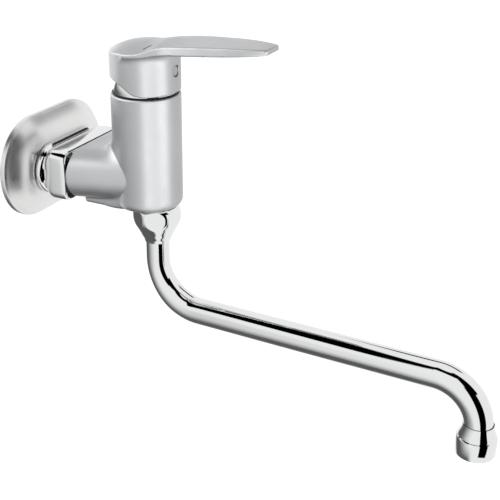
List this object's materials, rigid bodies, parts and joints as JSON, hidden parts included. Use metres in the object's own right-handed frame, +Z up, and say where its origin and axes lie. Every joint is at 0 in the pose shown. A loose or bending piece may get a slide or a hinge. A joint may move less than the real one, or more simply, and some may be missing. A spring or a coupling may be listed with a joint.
{
  "type": "wall-mounted single-lever mixer tap",
  "caption": "Wall-mounted single-lever mixer tap: domed oblong wall plate, polished neck, round body with a lever on top and a long swivelling tube spout with an outlet collar.",
  "frame": {"origin": "on the wall plane, midway between the two supply inlets, on the wall plate's web", "axes": "+X straight out of the wall, +Y along the wall to the right inlet, +Z up"},
  "size_m": [0.3326, 0.1124, 0.2265],
  "materials": {
    "plate_chrome": "bright chrome plate",
    "satin_chrome": "chrome plate with a soft sheen",
    "polished_chrome": "mirror chrome plate",
    "brass": "machined brass",
    "steel": "plain stainless steel",
    "black_rubber": "matt black rubber",
    "grey_plastic": "matt moulded plastic",
    "pale_plastic": "matt moulded plastic",
    "blue_plastic": "matt moulded plastic",
    "black_plastic": "matt moulded plastic",
    "red_plastic": "glossy moulded plastic",
    "disc_ceramic": "ground ceramic"
  },
  "bodies": {
    "mixer_body": {"wall_plate": "plate_chrome", "neck_sleeve": "polished_chrome", "union_nut_left": "polished_chrome", "union_nut_right": "polished_chrome", "tailpiece_left": "brass", "tailpiece_right": "brass", "inlet_washer_left": "black_rubber", "inlet_washer_right": "black_rubber", "inlet_strainer_left": "steel", "inlet_strainer_right": "steel", "body_casting": "satin_chrome", "cartridge_gasket": "black_rubber", "cartridge_base": "grey_plastic", "fixed_disc": "disc_ceramic", "cartridge_housing": "pale_plastic", "clamp_nut": "brass", "seam_ring": "black_plastic", "dome_cover": "polished_chrome", "spout_nut": "polished_chrome"},
    "turning_guide": {"rotor": "blue_plastic", "pivot_pin": "steel"},
    "sliding_disc": {"moving_disc": "disc_ceramic", "disc_carrier": "pale_plastic"},
    "lever_handle": {"lever": "satin_chrome", "lever_stem": "brass", "grub_screw": "steel", "screw_plug": "satin_chrome", "index_bar": "red_plastic"},
    "spout_arm": {"spout_tube": "polished_chrome", "spout_spigot": "brass", "spout_seal_upper": "black_rubber", "spout_seal_lower": "black_rubber", "spout_slip_ring": "pale_plastic", "outlet_collar": "polished_chrome", "aerator_washer": "black_rubber", "aerator_insert": "pale_plastic", "aerator_mesh": "grey_plastic"}
  },
  "joints": [
    {"name": "lever_turn", "type": "hinge", "parent": "mixer_body", "child": "turning_guide", "pos_m": [0.08, 0, 0.054], "axis": [0, 0, 1], "range_deg": [-45, 45]},
    {"name": "lever_lift", "type": "hinge", "parent": "turning_guide", "child": "lever_handle", "pos_m": [0.08, 0, 0.054], "axis": [0, -1, 0], "range_deg": [0, 22]},
    {"name": "disc_slide", "type": "slide", "parent": "turning_guide", "child": "sliding_disc", "axis": [1, 0, 0], "range_m": [0, 0.005]},
    {"name": "spout_swivel", "type": "hinge", "parent": "mixer_body", "child": "spout_arm", "pos_m": [0.0859, 0, -0.0215], "axis": [0, 0, 1], "range_deg": [-94, 106]}
  ],
  "couplings": [
    {"joint": "disc_slide", "follows": "lever_lift", "m_per_rad": 0.012}
  ]
}
